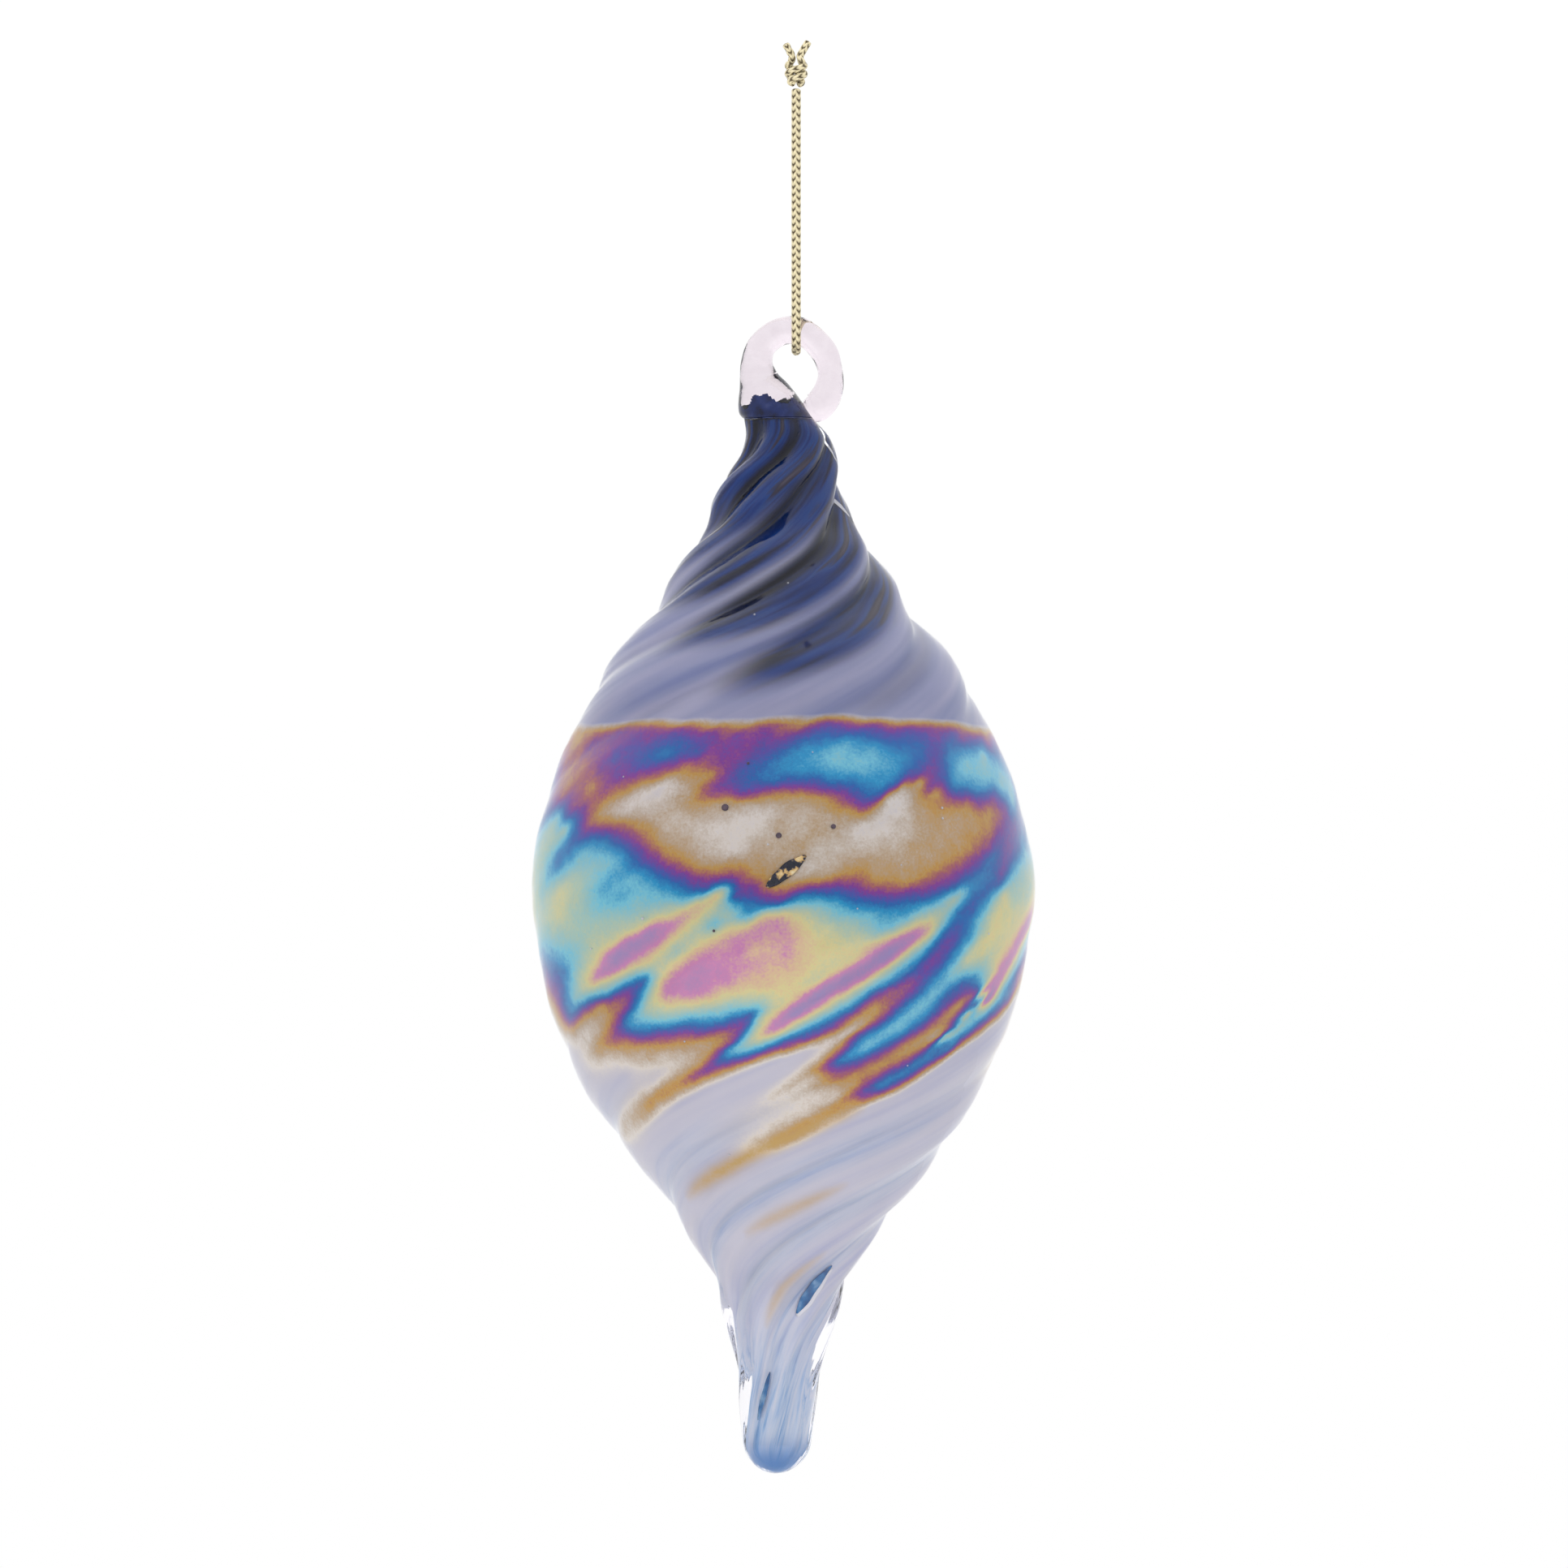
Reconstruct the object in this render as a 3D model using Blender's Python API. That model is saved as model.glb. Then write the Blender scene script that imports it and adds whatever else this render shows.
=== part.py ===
"""A twisted blown-glass icicle ornament on its hanging cord.

The glass is cased: a clear outer layer with six twisted ribs, over a thin coloured bubble. A clear glass
rod, curled into an eye, closes the neck. A metallic cord is looped through the eye and knotted above it.

Frame: metres, +Z up. The origin is the top of the cord's loop, just under the knot, where a hook or a twig
holds the ornament. X runs across the eye's flat ring and Y goes through its hole. Heights on the glass are
measured up from the lower tip, because that is how a glass blower draws the piece out.
"""

import math

import bmesh
import bpy
import numpy as np
from mathutils import Vector

MM = 0.001

# Driving sizes, in millimetres
GLASS_HEIGHT = 160.0  # lower tip to the top of the eye
CORD_DIAMETER = 1.3
BAR_DIAMETER = 3.8  # the eye's rod where the cord sits
GAP = 0.3  # between neighbouring pieces
LOOP_DROP = 33.7  # from the knot down to the centre of the eye's top bar

# The glass is described in millimetres from its tip, at height zero
EYE_BAR_HEIGHT = GLASS_HEIGHT - BAR_DIAMETER / 2
TIP_Z = -LOOP_DROP - EYE_BAR_HEIGHT  # the tip's place in the frame
CASING_TOP = 145.9
TIP_ROUND = 4.4  # radius of the rounded end of the drawn tip
NECK_BORE = 1.9  # radius of the blowpipe hole that the eye's foot closes
CASING_WALL = 1.1  # clear glass under the bottom of a groove
BUBBLE_WALL = 0.8
STEM_TOP = 26.0  # below this height the coloured bubble is drawn out solid
STEM_BOTTOM = 2.0
BUBBLE_TOP = 143.0

SIDES = 36  # corners of every ring of the glass, six to each rib
RING_STEP = 5.2  # the furthest that two rings lie apart, in millimetres
RING_TWIST = 15.0  # and the furthest that the ribs turn from one ring to the next, in degrees

RIBS = 6
RIB_START = 46.4  # at this height one rib faces the front, -Y

# (height, radius), (height, offset of the centre line along X), (height, degrees of twist for each mm) and
# (height, how far a rib stands above the groove beside it)
RADIUS = [
    (0.0, 4.4), (4.4, 4.65), (9.0, 5.2), (15.0, 5.95), (22.0, 7.7), (27.0, 9.15), (31.0, 11.5),
    (36.0, 14.8), (41.0, 18.6), (46.5, 22.9), (52.5, 26.7), (59.0, 30.05), (68.0, 32.8), (78.7, 34.6),
    (89.0, 33.65), (97.0, 31.3), (104.0, 27.8), (111.0, 24.3), (116.0, 20.25), (120.0, 16.8),
    (124.0, 14.6), (128.0, 12.1), (131.0, 9.75), (134.5, 8.7), (138.0, 7.6), (141.0, 6.25), (145.9, 5.5),
]
CENTRE_X = [
    (0.0, -2.8), (20.0, -2.2), (34.0, -1.95), (40.0, -1.55), (47.0, -1.8), (80.0, -1.8), (118.0, -2.0),
    (130.0, -2.1), (137.0, -2.15), (141.5, -1.0), (148.0, -1.3),
]
TWIST = [
    (0.0, 3.0), (10.0, 3.3), (18.0, 3.8), (24.0, 5.6), (36.0, 6.2), (46.0, 5.8), (52.0, 5.0), (60.0, 4.2),
    (70.0, 3.5), (85.0, 3.3), (100.0, 3.6), (108.0, 4.9), (116.0, 6.2), (125.0, 6.5), (150.0, 6.5),
]
RIB_DEPTH = [
    (0.0, 0.1), (10.0, 0.4), (24.0, 0.8), (38.0, 1.1), (48.0, 0.9), (60.0, 0.5), (80.0, 0.35), (96.0, 0.45),
    (106.0, 0.9), (114.0, 1.3), (124.0, 1.6), (136.0, 1.5), (145.9, 0.7),
]

# The eye's rod, from its foot in the neck to its free end: (x, height, radius) in millimetres
EYE_ROD = [
    (-1.3, 141.5, 1.55), (-1.4, 145.9, 1.55), (-3.2, 146.3, 4.5), (-4.0, 147.5, 4.15), (-4.6, 149.6, 3.5),
    (-5.15, 151.5, 2.75), (-5.4, 153.6, 2.2), (-4.75, 155.9, 2.0), (-2.8, 157.65, 1.95), (-0.9, 158.15, 1.9),
    (0.7, 157.95, 1.9), (2.45, 156.75, 1.85), (4.0, 154.9, 1.85), (4.7, 152.5, 1.75), (4.75, 150.3, 1.8),
    (4.2, 148.7, 1.8), (3.3, 147.85, 1.55),
]
EYE_BASE = 2.0  # the point of the list where the leg sits flat on the neck
EYE_BASE_TURN = 4.0  # points from there until its sections stand square to the rod
EYE_END_BULGE = 0.55  # how far the rod's free end is rounded out, in radii

# The cord's route from the knot down to where it starts to bend round the bar: (y, z) in millimetres
STRAND = [(0.72, -GAP), (0.74, -3.0), (0.95, -9.0), (1.55, -18.0), (2.35, -27.0), (2.8, -31.5)]
CORD_STEP = 1.35  # distance between two points of the cord's tube
CORD_SIDES = 2  # bevel resolution, which gives eight sides

END_TAPER = 0.5  # the ends narrow to this share, so that they swing under the knot without touching it

KNOT_WIDTH = 3.4
KNOT_HEIGHT = 3.2
KNOT_LIFT = 0.15  # from the hinge axis up to the knot's underside
# (share of the knot's height, share of its width), from its underside to its top
KNOT_OUTLINE = [(0.0, 0.6), (0.15, 0.84), (0.38, 0.99), (0.62, 1.0), (0.84, 0.8), (1.0, 0.45)]
KNOT_LOBES = 3
TAIL_LENGTH = 4.5
TAIL_START = 2.0  # height inside the knot where a tail begins


def clear_scene():
    for obj in list(bpy.data.objects):
        bpy.data.objects.remove(obj, do_unlink=True)


def along(points, at):
    """The value at a place on the smooth curve through points, which are (place, value) pairs."""
    xs, ys = np.array(points, float).T
    slopes = np.gradient(ys, xs)
    i = int(np.clip(np.searchsorted(xs, at) - 1, 0, len(xs) - 2))
    step = xs[i + 1] - xs[i]
    t = float(np.clip((at - xs[i]) / step, 0.0, 1.0))
    start, end = ys[i], ys[i + 1]
    bend_out = slopes[i] * step
    bend_in = slopes[i + 1] * step
    cubic = (2 * t**3 - 3 * t**2 + 1) * start + (t**3 - 2 * t**2 + t) * bend_out
    return cubic + (3 * t**2 - 2 * t**3) * end + (t**3 - t**2) * bend_in


def twist_angle(height, steps=24):
    """How far the ribs have turned at this height, in radians, from where one faces the front."""
    places = np.linspace(RIB_START, height, steps)
    rates = [along(TWIST, place) for place in places]
    turned = sum((a + b) / 2 for a, b in zip(rates, rates[1:])) * (height - RIB_START) / (steps - 1)
    return math.radians(turned)


def base_radius(height):
    """The radius of the smooth form under the ribs, closed by a round end at the tip."""
    rise = min(height / TIP_ROUND, 1.0)
    return along(RADIUS, height) * math.sqrt(max(0.0, 1.0 - (1.0 - rise) ** 2))


def rib(phase):
    """A broad round rib with a narrow groove: 1 on the rib's crest and 0 in the groove."""
    soft = 0.12
    crest = math.sqrt(1.0 + soft**2) - soft
    return (math.sqrt(math.cos(phase / 2) ** 2 + soft**2) - soft) / crest


def casing_point(height, angle):
    """A point of the ribbed outside. The angle is counted from the crest of one rib."""
    mean_rib = 0.6
    radius = base_radius(height)
    depth = along(RIB_DEPTH, height) * min(radius / TIP_ROUND, 1.0)
    radius += depth * (rib(RIBS * angle) - mean_rib)
    turned = angle + twist_angle(height) - math.pi / 2
    return place(radius * math.cos(turned), radius * math.sin(turned), height)


def place(x, y, height):
    """Millimetres on the glass to a point in the frame, in metres."""
    return Vector(((x + along(CENTRE_X, height)) * MM, y * MM, (TIP_Z + height) * MM))


def inner_radius(height):
    """The radius of the smooth inside of the clear casing."""
    return base_radius(height) - along(RIB_DEPTH, height) * 0.6 - CASING_WALL


def round_ring(mesh, radius, height):
    turns = (2 * math.pi * i / SIDES for i in range(SIDES))
    return [mesh.verts.new(place(radius * math.cos(t), radius * math.sin(t), height)) for t in turns]


def bridge(mesh, lower, upper):
    count = len(lower)
    for i in range(count):
        j = (i + 1) % count
        mesh.faces.new((lower[i], lower[j], upper[j], upper[i]))


def close(mesh, ring, tip):
    """Joins a ring to a single point."""
    pole = mesh.verts.new(tip)
    for a, b in zip(ring, ring[1:] + ring[:1]):
        mesh.faces.new((a, b, pole))


def material(name, colour, roughness, metallic=0.0, clear=0.0):
    made = bpy.data.materials.new(name)
    made.use_nodes = True
    shader = made.node_tree.nodes["Principled BSDF"]
    shader.inputs["Base Color"].default_value = (*colour, 1.0)
    shader.inputs["Roughness"].default_value = roughness
    shader.inputs["Metallic"].default_value = metallic
    shader.inputs["Transmission Weight"].default_value = clear
    made.diffuse_color = (*colour, 1.0)
    return made


def solid(name, mesh, paint, origin=(0.0, 0.0, 0.0)):
    """One closed, smooth-shaded object whose origin lies at the given point of the frame."""
    bmesh.ops.triangulate(mesh, faces=mesh.faces, quad_method="SHORT_EDGE")
    bmesh.ops.recalc_face_normals(mesh, faces=mesh.faces)
    bmesh.ops.translate(mesh, verts=mesh.verts, vec=-Vector(origin))
    data = bpy.data.meshes.new(name)
    mesh.to_mesh(data)
    mesh.free()
    data.shade_smooth()
    data.set_sharp_from_angle(angle=math.radians(50))
    data.materials.append(paint)
    obj = bpy.data.objects.new(name, data)
    obj.location = origin
    bpy.context.scene.collection.objects.link(obj)
    return obj


def outside_heights():
    """Heights of the casing's rings: round the tip, then closer together where the ribs twist faster."""
    heights = [TIP_ROUND * (1 - math.cos(math.radians(angle))) for angle in (24, 48, 70)]
    height = TIP_ROUND * 1.3
    while height < CASING_TOP - 1.0:
        heights.append(height)
        height += min(RING_STEP, RING_TWIST / along(TWIST, height))
    return heights + [CASING_TOP]


def inside_heights(start):
    """Heights of evenly spaced rings on a smooth surface inside the glass, up to the top of the bubble."""
    count = round((BUBBLE_TOP - start) / RING_STEP) + 1
    return np.linspace(start, BUBBLE_TOP, count)


def glass_casing(pivot):
    """The clear outer layer: ribbed outside, smooth inside, with a solid tip and the blowpipe hole on top."""
    mesh = bmesh.new()
    outer = []
    for height in outside_heights():
        turns = (2 * math.pi * i / SIDES for i in range(SIDES))
        outer.append([mesh.verts.new(casing_point(height, t)) for t in turns])
    for lower, upper in zip(outer, outer[1:]):
        bridge(mesh, lower, upper)
    close(mesh, outer[0], place(0.0, 0.0, 0.0))

    inner = [round_ring(mesh, inner_radius(height), height) for height in inside_heights(STEM_BOTTOM + 1.5)]
    inner += [round_ring(mesh, NECK_BORE, height) for height in (CASING_TOP - CASING_WALL, CASING_TOP)]
    for lower, upper in zip(inner, inner[1:]):
        bridge(mesh, lower, upper)
    close(mesh, inner[0], place(0.0, 0.0, STEM_BOTTOM))
    bridge(mesh, outer[-1], nearest_first(outer[-1], inner[-1]))
    return solid("glass_casing", mesh, material("clear_glass", (0.93, 0.9, 0.94), 0.03, clear=1.0), pivot)


def nearest_first(ring, other):
    """The other ring's corners in an order that starts beside the ring's first corner."""
    start = min(range(len(other)), key=lambda i: (other[i].co - ring[0].co).length)
    return other[start:] + other[:start]


def colour_bubble(pivot):
    """The thin coloured bubble inside the casing. Its lower end is drawn out to a solid stem."""
    mesh = bmesh.new()
    outer = [round_ring(mesh, inner_radius(h) - GAP, h) for h in inside_heights(STEM_BOTTOM + 1.5)]
    for lower, upper in zip(outer, outer[1:]):
        bridge(mesh, lower, upper)
    close(mesh, outer[0], place(0.0, 0.0, STEM_BOTTOM + GAP))

    inner = [round_ring(mesh, inner_radius(h) - GAP - BUBBLE_WALL, h) for h in inside_heights(STEM_TOP + 4.0)]
    for lower, upper in zip(inner, inner[1:]):
        bridge(mesh, lower, upper)
    close(mesh, inner[0], place(0.0, 0.0, STEM_TOP))
    bridge(mesh, outer[-1], inner[-1])
    return solid("colour_bubble", mesh, material("cobalt_glass", (0.02, 0.06, 0.2), 0.15, 0.4), pivot)


def rod_point(rod, t):
    """The place (x, height) and the radius at t along the smooth curve through the rod's own points."""
    return [along([(i, point[axis]) for i, point in enumerate(rod)], t) for axis in range(3)]


def hanging_eye(pivot):
    """The clear rod that closes the neck: a foot in the blowpipe hole, a broad leg, and a curled ring."""
    mesh = bmesh.new()
    sides = 16
    last = len(EYE_ROD) - 1
    places = [0.0, 1.0] + list(np.arange(EYE_BASE, last + 0.1, 0.5))
    rings = []
    for t in places:
        x, height, radius = rod_point(EYE_ROD, t)
        before, after = rod_point(EYE_ROD, max(t - 0.25, 0.0)), rod_point(EYE_ROD, min(t + 0.25, last))
        tangent = Vector((after[0] - before[0], 0.0, after[1] - before[1])).normalized()
        follows = min(max(t - EYE_BASE, 0.0) / EYE_BASE_TURN, 1.0)
        along_rod = Vector((0.0, 0.0, 1.0)).lerp(tangent, follows).normalized()
        across = Vector((0.0, 1.0, 0.0)).cross(along_rod)
        centre = Vector((x, 0.0, TIP_Z + height))
        ring = []
        for i in range(sides):
            turn = 2 * math.pi * i / sides
            out = across * math.cos(turn) + Vector((0.0, 1.0, 0.0)) * math.sin(turn)
            ring.append(mesh.verts.new((centre + out * radius) * MM))
        rings.append(ring)
    for lower, upper in zip(rings, rings[1:]):
        bridge(mesh, lower, upper)
    mesh.faces.new(rings[0])
    close(mesh, rings[-1], (centre + along_rod * radius * EYE_END_BULGE) * MM)
    return solid("hanging_eye", mesh, material("eye_glass", (0.95, 0.92, 0.95), 0.02, clear=1.0), pivot)


def cord_route():
    """The middle of the cord, in millimetres: down behind the bar, round under it, and up in front."""
    turn_radius = BAR_DIAMETER / 2 + GAP + CORD_DIAMETER / 2
    down = [(0.0, y, z) for y, z in STRAND]
    bend = []
    for degrees in range(0, 181, 20):
        angle = math.radians(degrees)
        bend.append((0.0, turn_radius * math.cos(angle), -LOOP_DROP - turn_radius * math.sin(angle)))
    up = [(0.0, -y, z) for _, y, z in reversed(down)]
    return down + bend + up


def even_steps(route, step):
    """Points every step along the smooth curve through the route."""
    points = np.array(route)
    gone = np.concatenate([[0.0], np.cumsum(np.linalg.norm(np.diff(points, axis=0), axis=1))])
    count = round(gone[-1] / step) + 1
    tables = [list(zip(gone, points[:, axis])) for axis in range(3)]
    return [[along(table, place) for table in tables] for place in np.linspace(0, gone[-1], count)]


def hanging_cord(paint):
    """One length of cord, from the knot down behind the bar, under it, and back up in front."""
    curve = bpy.data.curves.new("hanging_cord", "CURVE")
    curve.dimensions = "3D"
    curve.bevel_depth = CORD_DIAMETER / 2 * MM
    curve.bevel_resolution = CORD_SIDES
    curve.use_fill_caps = True
    points = even_steps(cord_route(), CORD_STEP)
    spline = curve.splines.new("POLY")
    spline.points.add(len(points) - 1)
    for corner, point in zip(spline.points, points):
        corner.co = (*(Vector(point) * MM), 1.0)
    spline.points[0].radius = END_TAPER
    spline.points[-1].radius = END_TAPER
    curve.materials.append(paint)
    obj = bpy.data.objects.new("hanging_cord", curve)
    bpy.context.scene.collection.objects.link(obj)
    return obj


def cord_knot(paint):
    """The overhand knot that closes the loop, as a lump with two short tails."""
    mesh = bmesh.new()
    sides = 16
    rings = []
    for lift, width in KNOT_OUTLINE:
        ring = []
        for k in range(sides):
            turn = 2 * math.pi * k / sides
            radius = KNOT_WIDTH / 2 * width * (1.0 + 0.06 * math.cos(KNOT_LOBES * turn + 2.2 * lift))
            ring.append((radius * math.cos(turn), radius * math.sin(turn), KNOT_LIFT + KNOT_HEIGHT * lift))
        rings.append([mesh.verts.new(Vector(p) * MM) for p in ring])
    for lower, upper in zip(rings, rings[1:]):
        bridge(mesh, lower, upper)
    mesh.faces.new(rings[0])
    mesh.faces.new(rings[-1])
    lump = solid("cord_knot", mesh, paint)
    for side in (-1, 1):
        join(lump, knot_tail(side, paint))
    return lump


def knot_tail(side, paint):
    """One cut end of the cord, standing up and a little outwards from the knot."""
    mesh = bmesh.new()
    sides = 8
    rings = []
    for lift in (0.0, 0.5, 1.0):
        lean = side * (0.7 + 0.9 * lift + 0.5 * lift**2)
        height = TAIL_START + TAIL_LENGTH * lift
        corners = (2 * math.pi * k / sides for k in range(sides))
        radius = CORD_DIAMETER / 2
        ring = [(lean + radius * math.cos(c), 0.2 * side + radius * math.sin(c), height) for c in corners]
        rings.append([mesh.verts.new(Vector(p) * MM) for p in ring])
    for lower, upper in zip(rings, rings[1:]):
        bridge(mesh, lower, upper)
    mesh.faces.new(rings[0])
    mesh.faces.new(rings[-1])
    tail = solid(f"tail_{'left' if side < 0 else 'right'}", mesh, paint)
    tail.hide_render = True
    tail.display_type = "WIRE"
    return tail


def join(target, tool):
    union = target.modifiers.new(tool.name, "BOOLEAN")
    union.operation = "UNION"
    union.solver = "EXACT"
    union.object = tool


def main():
    clear_scene()
    pivot = (0.0, 0.0, -LOOP_DROP * MM)  # the centre of the eye's bar, which the glass swings about
    glass_casing(pivot)
    colour_bubble(pivot)
    hanging_eye(pivot)
    gold = material("gold_cord", (0.75, 0.65, 0.4), 0.45, 0.6)
    hanging_cord(gold)
    cord_knot(gold)


main()
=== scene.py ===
"""Looks of the twisted glass icicle: clear casing over a lustred bubble, a curled eye and a knitted cord.

Lengths are in millimetres and angles in degrees until a mesh is made, in the frame of the CAD model. A
place on the glass is (angle, height): degrees round from the front, -Y, towards +X, and height above the
tip.
"""
import math

import bpy
import numpy as np
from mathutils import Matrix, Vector


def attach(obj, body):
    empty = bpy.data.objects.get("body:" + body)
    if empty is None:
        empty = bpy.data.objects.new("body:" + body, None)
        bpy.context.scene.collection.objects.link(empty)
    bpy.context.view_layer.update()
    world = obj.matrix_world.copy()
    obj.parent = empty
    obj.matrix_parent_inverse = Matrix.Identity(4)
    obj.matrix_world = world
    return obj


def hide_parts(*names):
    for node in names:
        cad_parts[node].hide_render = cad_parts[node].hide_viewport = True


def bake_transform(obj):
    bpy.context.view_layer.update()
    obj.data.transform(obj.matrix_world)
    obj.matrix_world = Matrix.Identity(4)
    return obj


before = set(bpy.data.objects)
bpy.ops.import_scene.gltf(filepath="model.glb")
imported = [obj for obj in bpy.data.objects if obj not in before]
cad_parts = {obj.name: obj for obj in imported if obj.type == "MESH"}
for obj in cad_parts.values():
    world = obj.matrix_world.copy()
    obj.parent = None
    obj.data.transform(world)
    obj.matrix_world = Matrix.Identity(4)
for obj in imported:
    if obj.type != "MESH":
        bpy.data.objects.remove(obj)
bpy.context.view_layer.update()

MM = 0.001
ROOM_LIGHT = 0.78  # how bright the room behind the camera is, next to the white sweep
SKY_LIGHT = 0.3  # added from straight above

# Driving sizes, as in the CAD model.
LOOP_DROP = 33.7  # from the knot down to the centre of the eye's top bar
EYE_BAR_HEIGHT = 158.1
TIP_Z = -LOOP_DROP - EYE_BAR_HEIGHT
CASING_TOP = 145.9
TIP_ROUND = 4.4
NECK_BORE = 1.9
RIBS = 6
RIB_START = 46.4  # at this height one rib faces the front
CORD_DIAMETER = 1.3
BAR_RADIUS = 1.9
GAP = 0.3

# The glass's profile: (height, value).
RADIUS = [
    (0.0, 4.4), (4.4, 4.65), (9.0, 5.2), (15.0, 5.95), (22.0, 7.7), (27.0, 9.15), (31.0, 11.5),
    (36.0, 14.8), (41.0, 18.6), (46.5, 22.9), (52.5, 26.7), (59.0, 30.05), (68.0, 32.8), (78.7, 34.6),
    (89.0, 33.65), (97.0, 31.3), (104.0, 27.8), (111.0, 24.3), (116.0, 20.25), (120.0, 16.8),
    (124.0, 14.6), (128.0, 12.1), (131.0, 9.75), (134.5, 8.7), (138.0, 7.6), (141.0, 6.25), (143.5, 5.6),
    (145.9, 4.95),
]
CENTRE_X = [
    (0.0, -2.8), (20.0, -2.2), (34.0, -1.95), (40.0, -1.55), (47.0, -1.8), (80.0, -1.8), (118.0, -2.0),
    (130.0, -2.1), (137.0, -2.15), (141.5, -1.0), (143.5, -1.15), (145.9, -2.5),
]
TWIST = [  # degrees to a millimetre
    (0.0, 3.0), (10.0, 3.3), (18.0, 3.8), (24.0, 5.6), (36.0, 6.2), (46.0, 5.8), (52.0, 5.0), (60.0, 4.2),
    (70.0, 3.5), (85.0, 3.3), (100.0, 3.6), (108.0, 4.9), (116.0, 6.2), (125.0, 6.5), (150.0, 6.5),
]
RIB_DEPTH = [
    (0.0, 0.1), (10.0, 0.4), (24.0, 0.8), (38.0, 1.1), (48.0, 0.9), (60.0, 0.5), (80.0, 0.35),
    (96.0, 0.45), (106.0, 0.9), (114.0, 1.3), (124.0, 1.6), (136.0, 1.5), (142.0, 0.9), (145.9, 0.3),
]
COVER = [  # clear glass outside the coloured bubble
    (0.0, 1.3), (5.0, 1.35), (9.0, 1.9), (14.0, 2.45), (20.0, 2.6), (26.0, 1.9), (32.0, 1.1), (40.0, 0.85),
    (136.0, 0.85), (140.0, 0.6), (143.0, 0.2), (144.5, 0.1), (145.9, 0.1),
]
LINING_GAP = 0.2  # between the bubble and the casing's inner surface, where the cover is thick enough
BUBBLE_BOTTOM = 1.2
BUBBLE_END_ROUND = 3.0
BUBBLE_TOP = 145.6
FOOT_WELL = 141.0  # the eye's foot stands in a blind hole down to here
WELL_TURN = 145.5  # the hole runs straight down below this height

# The eye's rod: (x, height, radius). It stands flat on the neck at the point numbered EYE_BASE.
EYE_ROD = [
    (-2.3, 141.5, 1.55), (-2.4, 145.85, 1.55), (-2.5, 145.96, 4.93), (-3.4, 147.4, 4.5), (-4.4, 149.6, 3.65),
    (-5.15, 151.5, 2.75), (-5.4, 153.6, 2.2), (-4.75, 155.9, 2.0), (-2.8, 157.65, 1.95),
    (-0.9, 158.15, 1.9), (0.7, 157.95, 1.9), (2.45, 156.75, 1.85), (4.0, 154.9, 1.85), (4.7, 152.5, 1.75),
    (4.6, 150.4, 1.95), (3.9, 148.6, 2.15), (2.9, 147.5, 2.15), (2.1, 147.1, 1.8),
]
EYE_BASE = 2
EYE_BASE_TURN = 4.0  # this many points further on, the rod's rings are square to it
EYE_END_BULGE = 0.55  # of the rod's radius
# Where the navy coat ends on the eye's leg, seen from the front: (x, height).
COAT_EDGE = [
    (-9.0, 148.6), (-8.0, 148.1), (-7.2, 147.1), (-6.5, 147.6), (-6.1, 148.6), (-4.9, 148.9),
    (-4.3, 149.2), (-3.5, 148.7), (-2.9, 148.2), (-1.7, 147.9), (-1.0, 147.9), (-0.6, 148.7),
    (0.1, 148.3), (1.0, 147.4), (2.2, 146.3),
]
COAT_FOOT = 145.7  # above this height the coat lies on the outside of the neck too
COAT_BACK = 1.2  # the same edge lies lower on the back

# The cord's middle, down behind the eye's bar: (y, z). It goes round the bar and up in front.
STRAND = [(0.72, -GAP), (0.74, -3.0), (0.95, -9.0), (1.55, -18.0), (2.35, -27.0), (2.8, -31.5)]
STITCH = 1.05  # length of one stitch
STITCH_COLUMNS = 4

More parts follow.
